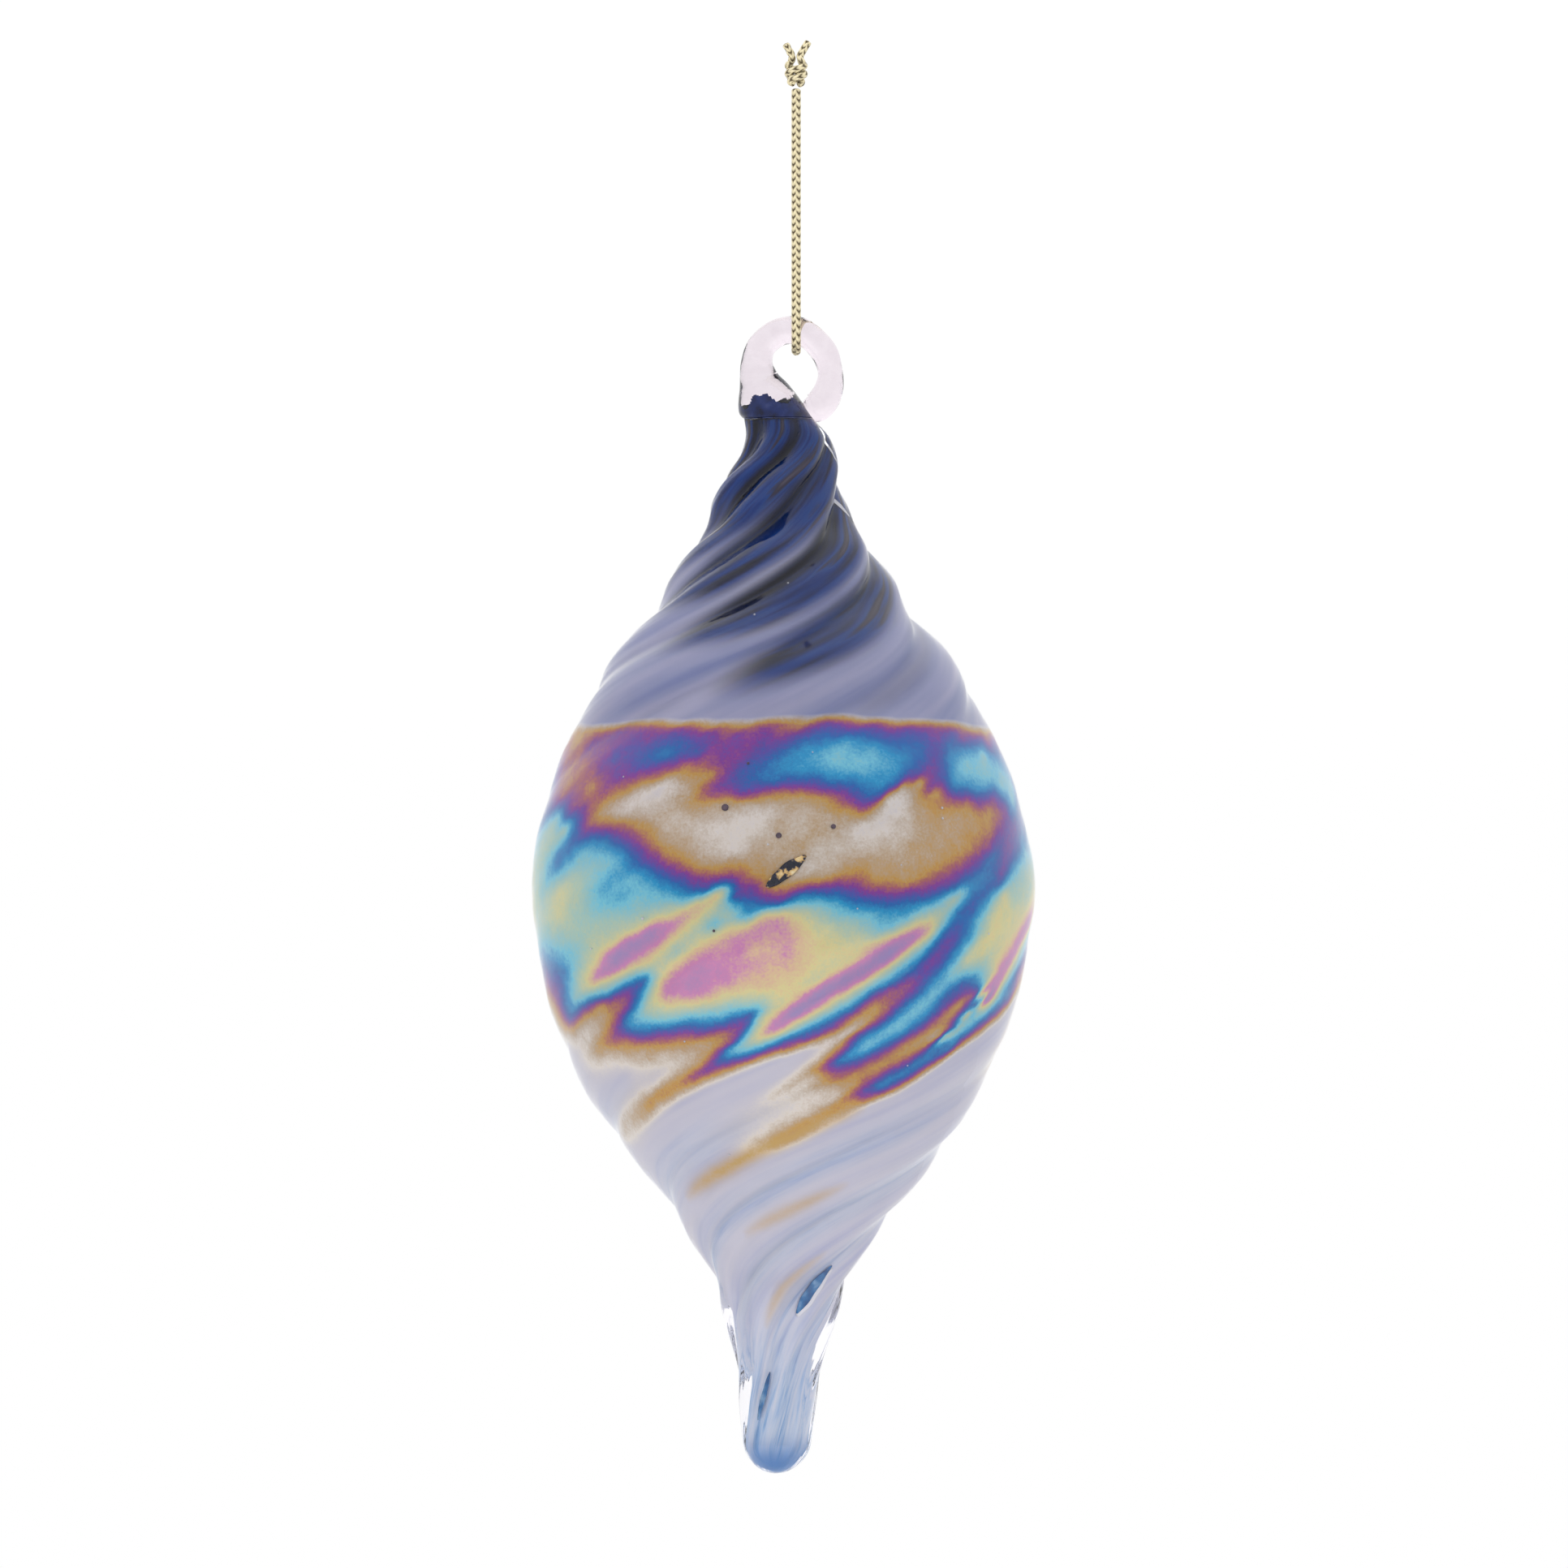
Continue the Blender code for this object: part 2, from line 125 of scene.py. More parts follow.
# The iridescent film on the front of the bubble: its thickness, from 0, too thin to colour, to 9,
# second-order violet, with the places where it is that thick.
FILM = [
    # above the edge, where it is cut off
    (2.0, [(-69, 107), (-39, 107), (-9, 107), (15, 107), (43, 107), (73, 107)]),
    # top gold
    (2.0, [(-77, 101), (-30, 103.5), (-20, 103), (-11, 103), (7, 103.5), (25, 104), (36, 104),
        (72, 102.5)]),
    # top purple
    (3.0, [(-66, 100), (-54, 102), (-41, 102), (-31, 102.5), (-21, 102), (-12, 102), (-4, 102),
        (9, 103), (38, 103), (50, 102.5), (61, 101.5), (75, 100.5)]),
    # left band
    (3.5, [(-50, 99), (-24, 99)]),
    # left band core
    (4.0, [(-35, 98.5), (-30, 99.5)]),
    # left band magenta
    (3.0, [(-48, 95.5), (-33, 97.5), (-19, 100), (-12, 99.5)]),
    # magenta over the tip
    (2.7, [(-25, 98), (-18, 97.5)]),
    # salmon
    (2.25, [(-67, 95.5), (-56, 94.5), (-72, 97)]),
    # salmon edge
    (2.8, [(-71, 93), (-79, 96), (-61, 93)]),
    # right band blue
    (4.0, [(9, 101.5), (22, 102), (41, 100), (12, 95.5), (3, 96), (-3, 95.5)]),
    # right band cyan
    (4.7, [(22, 100)]),
    # right band teal
    (5.3, [(13, 98.5), (22, 98.5)]),
    # purple under the right band
    (3.1, [(-17, 94.5), (-11, 94), (20, 92.5), (25, 93.5), (30, 95), (36, 96)]),
    # divider
    (3.3, [(46, 101), (45, 98.5)]),
    # far right patch
    (4.2, [(52, 100), (48, 95), (58, 94)]),
    # far right teal
    (5.4, [(55, 97.5), (68, 99), (63, 96), (71, 95)]),
    # under far right
    (3.0, [(40, 94.5), (63, 93), (68, 91.5)]),
    # flame 1 rim
    (2.05, [(-52, 90.5), (-33, 96), (-19, 96.5)]),
    # flame 1 lower rim
    (2.1, [(-46, 90), (-39, 89.5), (-28, 86), (-22, 84.5)]),
    # flame 1
    (0.85, [(-41, 92.5), (-32, 95)]),
    # flame 1 inner
    (1.3, [(-29, 89)]),
    # cream field
    (1.0, [(-13, 86)]),
    # taupe field
    (1.25, [(-9, 92), (-3, 89)]),
    # taupe fringe
    (1.9, [(-14, 93), (-3, 93.5), (4, 93.5), (10, 93), (16, 91.5)]),
    # grey streak
    (1.55, [(4, 86.5)]),
    # middle purple
    (3.0, [(-63, 92), (-44, 89), (-10, 82), (-7, 81.5), (-4, 80.5), (30, 81), (56, 86.5), (63, 89)]),
    # gold rim right
    (2.0, [(-3, 81.5), (3, 82), (9, 82.5), (22, 82.5), (30, 82), (59, 91), (50, 92), (41, 94)]),
    # flame 2 rim
    (2.0, [(26, 93.5), (31, 95), (37, 95.5), (40, 93)]),
    # flame 2 core
    (0.8, [(20, 89.5)]),
    # flame 2 body
    (1.2, [(14, 87), (5, 83)]),
    # brown field
    (1.65, [(19, 85), (35, 87)]),
    # blue under the purple
    (4.1, [(-64, 90.5), (-51, 88), (-26, 82), (-18, 81), (-12, 80), (-2, 79), (5, 80.5), (37, 80),
        (44, 81.5), (58, 85.5)]),
    # cyan left
    (5.1, [(-53, 86), (-43, 85), (-37, 82.5), (-21, 80), (-34, 81.5)]),
    # cyan left core
    (4.8, [(-45, 81.5), (-40, 80)]),
    # left edge green
    (5.8, [(-70, 90), (-64, 89)]),
    # left edge blue
    (4.3, [(-65, 86), (-66, 84)]),
    # left edge yellow
    (6.7, [(-64, 80.5), (-64, 77.5)]),
    # left field
    (6.1, [(-59, 75.5), (-47, 76.5)]),
    # left lower blue
    (4.4, [(-64, 69.5)]),
    # left lower purple
    (3.5, [(-71, 66)]),
    # left lower cyan
    (5.2, [(-67, 73)]),
    # spindle 1 halo
    (7.0, [(-51, 71), (-43, 74), (-35, 76), (-28, 77.5), (-21, 79), (-15, 80.5), (-24, 75.5),
        (-35, 71), (-50, 68.5)]),
    # spindle 1 pink
    (8.0, [(-51, 69), (-39, 74.5), (-31, 76.5), (-26, 76.5), (-34, 73), (-42, 70.5)]),
    # spindle 1 core
    (8.9, [(-44, 72), (-39, 73.5), (-33, 75)]),
    # green between 1 and 2
    (6.1, [(-26, 72.5), (-19, 75.5), (-13, 77.5), (-32, 70), (-60, 67)]),
    # cyan over 2
    (5.2, [(-13, 79.5), (-10, 77.5), (-16, 76.5)]),
    # blob halo
    (7.0, [(-31, 68.5), (-26, 71.5), (-19, 74), (-12, 76), (-5, 77.5), (1, 78)]),
    # blob halo under
    (7.0, [(-19, 66), (-5, 67.5), (-1, 66.5)]),
    # blob pink
    (8.0, [(-29, 67.5), (-23, 67)]),
    # peach
    (7.6, [(-7, 73), (3, 75)]),
    # yellow field
    (7.0, [(16, 73.5)]),
    # green field
    (6.2, [(23, 75)]),
    # pale cyan over the blob
    (5.5, [(-3, 78.5), (3, 79), (19, 77), (26, 76), (-7, 77.5)]),
    # spindle 3 halo
    (7.0, [(-3, 64), (1, 66), (9, 69), (16, 71.5), (23, 74.5), (36, 75), (31, 73), (25, 70.5),
        (-2, 61.5)]),
    # spindle 3 pink
    (8.0, [(-3, 62.5), (11, 69), (24, 73.5), (34, 75.5), (31, 73.5), (25, 71), (11, 66.5), (4, 64)]),
    # spindle 3 core
    (9.1, [(4, 64.5), (10, 67), (16, 69), (22, 71), (26, 73)]),
    # zigzag green
    (6.0, [(-36, 65), (-4, 65.5), (-6, 63.5), (-9, 60.5), (-3, 61), (20, 68), (44, 80)]),
    # zigzag blue
    (4.1, [(-68, 64), (-49, 66.5), (-35, 69), (-39, 65.5), (-42, 64), (-43, 62.5), (-37, 62),
        (-24, 63), (-18, 63), (-11, 64), (-7, 64.5), (-8, 63), (-11, 61), (-15, 59.5), (-16, 58.5),
        (-8, 59), (1, 61), (12, 63.5), (17, 65), (27, 68.5), (40, 75), (45, 78), (49, 80)]),
    # zigzag purple
    (3.0, [(-60, 64.5), (-50, 66), (-42, 67), (-45, 63.5), (-12, 62), (-13, 60.5), (-18, 58.5),
        (-23, 56.5), (-15, 57.5), (9, 61.5), (20, 65.5), (26, 67.5)]),
    # wedge 1 gold
    (2.0, [(-54, 60)]),
    # wedge 1 cream
    (1.2, [(-56, 62), (-62, 58.5)]),
    # wedge 1 clear
    (0.1, [(-80, 59), (-80, 56.5), (-71, 54.5), (-52, 55)]),
    # wedge 2 gold
    (2.0, [(-46, 60), (-37, 60), (-26, 60.5), (-17, 61), (-24, 57)]),
    # wedge 2 taupe
    (1.3, [(-40, 58)]),
    # wedge 2 clear
    (0.5, [(-38, 55.5)]),
    # tail 1
    (2.0, [(-36, 54), (-44, 52)]),
    # tail 1 end
    (1.2, [(-66, 48.5)]),
    # under zigzag gold
    (2.0, [(2, 59.5), (9, 61)]),
    # clear under zigzag
    (0.2, [(-22, 54), (-12, 56), (-2, 58), (5, 59), (-32, 52), (-47, 48.5), (-18, 51.5)]),
    # wedge 3 rise
    (2.0, [(14, 62), (23, 65)]),
    # wedge 3 rise top
    (2.6, [(27, 66.5), (30, 67.5)]),
    # wedge 3 top
    (3.2, [(38, 71.5), (42, 73.5)]),
    # wedge 3 cream
    (1.0, [(13, 60.5), (17, 62)]),
    # streak 4 tip
    (3.0, [(15, 59), (19, 61.5), (25, 63.5)]),
    # streak 4 blue
    (4.1, [(15, 58), (44, 73), (58, 82.5)]),
    # streak 4 cyan
    (5.2, [(22, 60), (29, 62.5), (34, 64.5), (39, 66.5), (46, 72), (50, 74.5)]),
    # streak 4 green
    (6.6, [(48, 71.5), (52, 74), (56, 77), (61, 80)]),
    # streak 4 lower blue
    (4.0, [(25, 59.5), (37, 63), (44, 67), (49, 68.5)]),
    # streak 4 lower purple
    (3.0, [(47, 66), (53, 67), (52, 65.5)]),
    # wedge 4 gold
    (2.05, [(14, 55), (27, 57.5), (33, 59.5), (49, 65.5)]),
    # wedge 4 cream
    (1.2, [(8, 55.5), (2, 54.5), (11, 54), (16, 53)]),
    # streak 5 tip
    (3.1, [(23, 53.5), (40, 59), (45, 61)]),
    # streak 5 blue
    (4.2, [(29, 54.5), (42, 58.5), (47, 60), (50, 62.5), (55, 65), (56, 67)]),
    # streak 5 cyan
    (5.5, [(46, 61), (51, 62.5), (55, 64), (59, 66)]),
    # streak 5 yellow
    (7.0, [(54, 64), (57, 67), (61, 70.5), (65, 73.5), (71, 76.5)]),
    # streak 5 pink
    (8.3, [(60, 66), (68, 71), (74, 74.5), (80, 77)]),
    # streak 5 under
    (5.5, [(69, 67.5), (80, 73.5)]),
    # streak 5 lower blue
    (4.0, [(42, 57.5), (50, 59.5), (64, 64), (74, 66.5), (80, 70.5)]),
    # streak 5 lower purple
    (3.0, [(32, 54), (46, 58), (54, 60.5), (64, 63), (76, 66), (80, 69.5)]),
    # tail 2
    (2.1, [(21, 52.5), (15, 51), (1, 47.5)]),
    # clear under 5
    (0.1, [(16, 48.5), (27, 51.5), (44, 55.5), (53, 58.5), (66, 61.5), (80, 65), (27, 48),
        (48, 52.5), (71, 58.5)]),
    # right edge violet
    (3.3, [(72, 89), (67, 86), (61, 83)]),
    # right edge blue
    (4.0, [(60, 81.5), (54, 80.5), (76, 91)]),
    # right edge grey green
    (6.2, [(66, 80), (77, 80), (79, 82.5)]),
    # right edge teal
    (5.4, [(76, 93), (70, 83)]),
]
BACK_SHIFT = (180, -3.0)  # the same film goes on round the back, a little lower
EDGE_FRONT, EDGE_BACK = 104.1, 101.1  # the film's upper edge
FILM_TOP, FILM_FOOT = 112.0, 43.0  # no film beyond these heights
FILM_THICKEST = 9.6
FILM_SMOOTH = 0.15  # rounds the film's slopes at its points
FILM_SLACK = 0.0005  # lets the film miss a point a little where two points disagree
FILM_REACH = 25.0  # how far one point counts, in millimetres

# Faint gold streaks below the film: strength, half width in millimetres, then places along each.
STREAKS = [
    (0.95, 1.05, [(-55, 38.6), (-38, 41.0), (-21, 43.5), (8, 48.6), (26, 51.6)]),
    (0.6, 0.9, [(-24, 33.7), (4, 37.4), (28, 41.0)]),
    (0.55, 0.75, [(-24, 20.6), (2, 26.4), (34, 31.4)]),
    (0.7, 1.0, [(125, 43.5), (140, 46.0), (175, 52.0)]),
    (0.65, 1.0, [(-155, 35.0), (-135, 38.8), (-105, 44.5)]),
    (0.5, 0.8, [(90, 30.0), (112, 33.4), (135, 37.0)]),
]

FLOW_LENGTH = 60.0  # the glass's streaks are drawn out over about this height
COAT_GRAIN = 8.0  # the size of the navy coat's streaks on the eye

# Grains in the glass: (angle, height, radius).
DARK_SPECKS = [(-14, 92.1, 0.5), (-1, 88.4, 0.4), (12, 89.6, 0.35), (-16, 75.6, 0.2), (-9, 98.0, 0.2)]
PALE_SPECKS = [
    (-3.5, 87.2, 0.16), (42, 92.0, 0.2), (41.5, 90.6, 0.18), (-34, 77.2, 0.2), (-26, 60.6, 0.16),
    (8, 99.5, 0.12), (-51, 73.0, 0.16), (28, 84.4, 0.12), (17, 78.6, 0.12), (-12, 118.2, 0.14),
    (4, 122.6, 0.12), (-20, 45.0, 0.14), (36, 57.2, 0.12), (-44, 96.2, 0.12), (55, 75.0, 0.16),
    (150, 90.5, 0.18), (-140, 82.0, 0.18), (-100, 70.2, 0.16), (115, 61.0, 0.16), (175, 118.4, 0.14),
    (-165, 52.2, 0.16), (95, 99.0, 0.14),
]


def along(points, wanted):
    """A smooth curve through (x, y) points, read at the wanted values of x."""
    xs, ys = np.array(points, float).T
    slopes = np.gradient(ys, xs)
    wanted = np.clip(np.asarray(wanted, float), xs[0], xs[-1])
    i = np.clip(np.searchsorted(xs, wanted) - 1, 0, len(xs) - 2)
    step = xs[i + 1] - xs[i]
    t = (wanted - xs[i]) / step
    from_left = (2 * t**3 - 3 * t**2 + 1) * ys[i] + (t**3 - 2 * t**2 + t) * slopes[i] * step
    from_right = (3 * t**2 - 2 * t**3) * ys[i + 1] + (t**3 - t**2) * slopes[i + 1] * step
    return from_left + from_right


def smooth_step(value, low, high):
    """0 up to low and 1 from high on, with a smooth change between them."""
    t = np.clip((value - low) / (high - low), 0.0, 1.0)
    return t * t * (3 - 2 * t)


TWIST_STEP = 0.1
TWIST_HEIGHTS = np.arange(0.0, TWIST[-1][0] + TWIST_STEP / 2, TWIST_STEP)
TWIST_TURNS = np.append(0.0, np.cumsum(along(TWIST, TWIST_HEIGHTS[1:] - TWIST_STEP / 2) * TWIST_STEP))


def twist(height):
    """How far the ribs have turned at a height, in degrees."""
    turns = np.interp(height, TWIST_HEIGHTS, TWIST_TURNS)
    return turns - np.interp(RIB_START, TWIST_HEIGHTS, TWIST_TURNS)


def rib(phase):
    """One rib's round crest and narrow groove, from 0 to 1."""
    soft = 0.12
    return (np.sqrt(np.cos(phase / 2) ** 2 + soft**2) - soft) / (math.sqrt(1 + soft**2) - soft)


def outside_radius(angle, height):
    """The casing's outer surface: the twisted ribs, with fine tool lines, and a hand-made unevenness."""
    drop = 1 - np.minimum(height / TIP_ROUND, 1.0)
    base = along(RADIUS, height) * np.sqrt(np.maximum(1 - drop**2, 0.0))
    small = np.minimum(base / TIP_ROUND, 1.0)
    depth = along(RIB_DEPTH, height) * small
    turn = np.radians(angle - twist(height))
    lines = 0.04 * depth * (np.sin(19 * turn + 0.05 * height) + 0.6 * np.sin(31 * turn + 1.0))
    uneven = 0.10 * np.sin(2 * turn + 0.11 * height + 1.3) + 0.06 * np.sin(5 * turn - 0.23 * height)
    return base + depth * (rib(RIBS * turn) - 0.6) + lines + uneven * small


def bubble_radius(angle, height):
    """The bubble's outer surface, under the casing's cover, with a round lower end."""
    drop = 1 - np.minimum((height - BUBBLE_BOTTOM) / BUBBLE_END_ROUND, 1.0)
    return (outside_radius(angle, height) - along(COVER, height)) * np.sqrt(np.maximum(1 - drop**2, 0.0))


def lining_radius(angle, height):
    """The casing's inner surface, a little outside the bubble."""
    clear = np.minimum(LINING_GAP, along(COVER, height) / 2)
    return bubble_radius(angle, np.maximum(height, BUBBLE_BOTTOM + 0.05)) + clear


def at(angle, height, radius):
    """Points in metres from places on the glass."""
    turn = np.radians(angle)
    x = along(CENTRE_X, height) + radius * np.sin(turn)
    y = -radius * np.cos(turn)
    return np.stack(np.broadcast_arrays(x, y, TIP_Z + height), -1) * MM


def new_piece(name, points, faces, paints):
    """A mesh object from points in metres, with its materials."""
    mesh = bpy.data.meshes.new(name)
    mesh.from_pydata(np.asarray(points).tolist(), [], faces)
    for paint in paints:
        mesh.materials.append(paint)
    mesh.shade_smooth()
    mesh.validate()
    piece = bpy.data.objects.new(name, mesh)
    bpy.context.scene.collection.objects.link(piece)
    return piece


def set_attribute(piece, name, values, kind="FLOAT"):
    attribute = piece.data.attributes.new(name, kind, "POINT")
    field = "value" if kind == "FLOAT" else "vector"
    attribute.data.foreach_set(field, np.asarray(values, np.float32).ravel())


def ring_faces(rings, sides):
    """Quads between neighbouring rings of points."""
    grid = np.arange(rings * sides).reshape(rings, sides)
    low, high = grid[:-1], grid[1:]
    quads = np.stack([low, np.roll(low, -1, 1), np.roll(high, -1, 1), high], -1)
    return quads.reshape(-1, 4).tolist()


def end_faces(ring, pole, start):
    """A fan that closes a ring of points to a pole."""
    following = np.roll(ring, -1)
    if start:
        return [(pole, int(b), int(a)) for a, b in zip(ring, following)]
    return [(int(a), int(b), pole) for a, b in zip(ring, following)]


def closed_body(rings, start_pole, end_pole):
    """Points and faces of a body made of rings, closed at both poles."""
    count, sides = rings.shape[:2]
    points = np.concatenate([rings.reshape(-1, 3), [start_pole, end_pole]])
    faces = ring_faces(count, sides)
    faces += end_faces(np.arange(sides), count * sides, True)
    faces += end_faces(np.arange(sides) + (count - 1) * sides, count * sides + 1, False)
    return points, faces


# ---------------------------------------------------------------- materials


def from_srgb(colour):
    """Linear values of a colour given as three numbers up to 255."""
    values = np.array(colour, float) / 255
    return np.where(values <= 0.04045, values / 12.92, ((values + 0.055) / 1.055) ** 2.4).tolist()


def rgba(*colour):
    return (*from_srgb(colour), 1.0)


def under_glass(*colour):
    """The paint that looks like this colour through clear glass, which keeps part of the light inside."""
    seen = np.array(from_srgb(colour))
    return (*(seen / (0.5 + 0.5 * seen)).tolist(), 1.0)


class Nodes:
    """Short ways to add nodes to one material or world."""

    def __init__(self, owner, shader):
        self.owner = owner
        owner.use_nodes = True
        self.tree = owner.node_tree
        self.shader = self.tree.nodes[shader]

    def add(self, kind, inputs=(), **settings):
        node = self.tree.nodes.new("ShaderNode" + kind)
        for name, value in settings.items():
            setattr(node, name, value)
        for name, value in dict(inputs).items():
            self.link(value, node.inputs[name])
        return node

    def link(self, value, socket):
        if isinstance(value, bpy.types.NodeSocket):
            self.tree.links.new(value, socket)
        else:
            socket.default_value = value

    def attribute(self, name, output="Fac"):
        return self.add("Attribute", attribute_name=name).outputs[output]

    def noise(self, vector, scale, detail=2.0, roughness=0.5):
        """Noise in a vector, or in the object's own metres."""
        if vector is None:
            vector = self.add("TexCoord").outputs["Object"]
        inputs = {"Vector": vector, "Scale": scale, "Detail": detail, "Roughness": roughness}
        return self.add("TexNoise", inputs).outputs["Fac"]

    def math(self, operation, a, b, c=0.0, use_clamp=False):
        node = self.add("Math", {0: a, 1: b, 2: c}, operation=operation, use_clamp=use_clamp)
        return node.outputs[0]

    def ramp(self, factor, stops, paint=rgba):
        node = self.add("ValToRGB", {"Fac": factor})
        elements = node.color_ramp.elements
        while len(elements) < len(stops):
            elements.new(0.5)
        for element, (position, colour) in zip(elements, stops):
            element.position = position
            element.color = paint(*colour)
        return node.outputs["Color"]

    def mix(self, factor, a, b):
        node = self.add("Mix", data_type="RGBA")
        self.link(factor, node.inputs[0])
        self.link(a, node.inputs[6])
        self.link(b, node.inputs[7])
        return node.outputs[2]

    def bump(self, height, strength, distance):
        node = self.add("Bump", {"Height": height, "Strength": strength, "Distance": distance})
        self.link(node.outputs["Normal"], self.shader.inputs["Normal"])

    def set(self, **values):
        for name, value in values.items():
            self.link(value, self.shader.inputs[name.replace("_", " ")])
        return self.owner


def new_material(name):
    return Nodes(bpy.data.materials.new(name), "Principled BSDF")


def clear_glass():
    n = new_material("clear_casing_glass")
    tint = n.mix(n.noise(None, 90.0), rgba(250, 248, 253), rgba(255, 254, 255))
    n.bump(n.noise(n.attribute("flow", "Vector"), 9.0, 1.0), 0.12, 0.0004)
    n.set(Base_Color=tint, Roughness=0.015)
    return n.set(IOR=1.42, Specular_IOR_Level=0.12, Transmission_Weight=1.0)


def fused_joint():
    """Hot-fused glass has no surface between casing and bubble, so this face is not seen."""
    material = bpy.data.materials.new("fused_joint")
    material.use_nodes = True
    nodes = material.node_tree.nodes
    nodes.remove(nodes["Principled BSDF"])
    clear = nodes.new("ShaderNodeBsdfTransparent")
    material.node_tree.links.new(clear.outputs[0], nodes["Material Output"].inputs["Surface"])
    return material


def eye_glass():
    n = new_material("eye_glass")
    cloud = n.noise(None, 700.0, 3.0, 0.6)
    tint = n.mix(cloud, rgba(226, 214, 223), rgba(247, 239, 245))
    n.bump(n.noise(None, 900.0, 2.0), 0.1, 0.0002)
    return n.set(Base_Color=tint, Roughness=0.03, IOR=1.45, Transmission_Weight=1.0)


def navy_coat():
    n = new_material("navy_coat")
    streaks = n.noise(n.attribute("flow", "Vector"), 5.0, 3.0)
    colour = n.ramp(streaks, [(0.3, (8, 12, 36)), (0.55, (14, 26, 66)), (0.75, (34, 42, 78))])
    n.set(Base_Color=colour, Roughness=0.2, Specular_IOR_Level=0.25)
    return n.set(Coat_Weight=0.2, Coat_Roughness=0.03)


def ground_colour(n, streams):
    """The bubble's colour: pearly lilac, with a navy neck and a blue tip; on the neck, a painted highlight
    beside each rib crest and painted shade in the grooves.
    """
    streaks = n.noise(streams, 3.2, 3.0, 0.5)
    pale = n.ramp(streaks, [
        (0.3, (166, 170, 208)), (0.5, (192, 192, 216)), (0.7, (206, 203, 220)),
    ], under_glass)
    navy = n.ramp(n.noise(streams, 4.2, 3.0, 0.5), [
        (0.28, (0, 0, 10)), (0.4, (0, 8, 44)), (0.52, (2, 34, 96)), (0.58, (10, 46, 110)),
        (0.66, (34, 32, 48)), (0.78, (62, 56, 68)),
    ], under_glass)
    blue = n.ramp(n.noise(streams, 6.0, 3.0, 0.6), [
        (0.28, (32, 94, 170)), (0.38, (116, 158, 216)), (0.5, (170, 194, 234)), (0.7, (208, 216, 241)),
    ], under_glass)
    upper_tone = n.ramp(streaks, [(0.3, (104, 114, 162)), (0.7, (154, 154, 188))], under_glass)
    # colour of the painted highlight beside the neck's rib crests
    pearl_highlight = n.ramp(streaks, [(0.3, (104, 112, 162)), (0.7, (170, 172, 206))], under_glass)
    colour = pale
    # groove is painted shade, near-black, in the neck's rib grooves
    for share, paint in (
        ("upper_tone", upper_tone), ("blue", blue), ("deep", under_glass(60, 102, 166)), ("navy", navy),
        ("groove", under_glass(0, 0, 12)), ("pearl_highlight", pearl_highlight),
    ):
        colour = n.mix(n.attribute(share), colour, paint)
    return colour


def interference_colour(n, thick):
    """The film's colour at each thickness."""
    return n.ramp(n.math("MULTIPLY", thick, 0.1), [
        (0.0, (200, 197, 214)), (0.035, (208, 202, 210)), (0.08, (240, 229, 216)), (0.115, (206, 189, 170)),
        (0.155, (184, 152, 116)), (0.2, (192, 136, 60)), (0.25, (160, 80, 88)), (0.3, (116, 44, 138)),
        (0.345, (70, 62, 158)), (0.395, (12, 84, 168)), (0.46, (20, 138, 206)), (0.52, (100, 200, 236)),
        (0.6, (158, 204, 186)), (0.7, (234, 218, 138)), (0.75, (234, 184, 142)), (0.8, (212, 120, 180)),
        (0.9, (156, 124, 188)), (1.0, (120, 130, 200)),
    ], under_glass)


def lustre():
    """The coloured bubble with its iridescent film and the worn gold streaks below it, and painted highlights
    and painted shade on the neck's ribs.
    """
    n = new_material("lustre_glass")
    streams = n.attribute("flow", "Vector")
    grain = n.noise(None, 2600.0, 2.0, 0.7)
    mottle = n.noise(None, 420.0, 3.0, 0.6)
    uneven = n.math("ADD", n.math("MULTIPLY", n.math("SUBTRACT", grain, 0.5), 0.8),
                    n.math("MULTIPLY", n.math("SUBTRACT", mottle, 0.5), 0.9))
    thick = n.attribute("film")
    # The unevenness only shows where there is film.
    film = n.math("MULTIPLY_ADD", uneven, n.math("MINIMUM", thick, 1.0), thick)
    # At its upper edge the film only shows once it is thick enough to be gold.
    above_start = n.math("SUBTRACT", thick, n.math("MULTIPLY", n.attribute("upper_tone"), 0.9))
    shown = n.math("MULTIPLY", above_start, 1.25, use_clamp=True)
    colour = n.mix(shown, ground_colour(n, streams), interference_colour(n, film))
    worn = n.math("MULTIPLY", n.attribute("gold"), n.math("MULTIPLY_ADD", uneven, 0.5, 1.0))
    colour = n.mix(worn, colour, under_glass(190, 146, 80))
    n.bump(n.noise(streams, 7.0, 2.0), 0.08, 0.0003)
    rough = n.math("MULTIPLY_ADD", mottle, 0.2, 0.25)
    return n.set(Base_Color=colour, Roughness=rough, Metallic=0.15, Specular_IOR_Level=0.05)


def metallic_yarn():
    n = new_material("metallic_yarn")
    hollow_and_shade = n.attribute("hollow_and_shade")
    fibres = n.noise(None, 9000.0, 2.0)
    yarn = n.mix(fibres, rgba(186, 170, 124), rgba(236, 228, 198))
    # painted shade: the yarn darkens towards dark brown in the hollows between yarns
    colour = n.mix(n.math("POWER", hollow_and_shade, 1.3), yarn, rgba(58, 44, 26))
    rough = n.math("MULTIPLY_ADD", hollow_and_shade, 0.4, 0.3)
    n.bump(fibres, 0.3, 0.00004)
    return n.set(Base_Color=colour, Roughness=rough, Metallic=0.55)


def chip_metal():
    n = new_material("chip_metal")
    gold = n.ramp(n.noise(None, 800.0, 2.0), [
        (0.44, (14, 18, 40)), (0.5, (36, 40, 66)), (0.56, (236, 196, 124)), (0.7, (250, 236, 190)),
    ])
    return n.set(Base_Color=gold, Roughness=0.25, Metallic=0.6)


def window_blue():
    n = new_material("window_blue")
    patches = n.noise(None, 500.0, 2.0)
    deep = n.ramp(patches, [(0.35, (20, 70, 130)), (0.55, (50, 120, 180)), (0.7, (140, 180, 215))])
    return n.set(Base_Color=deep, Roughness=0.15, Metallic=0.2)


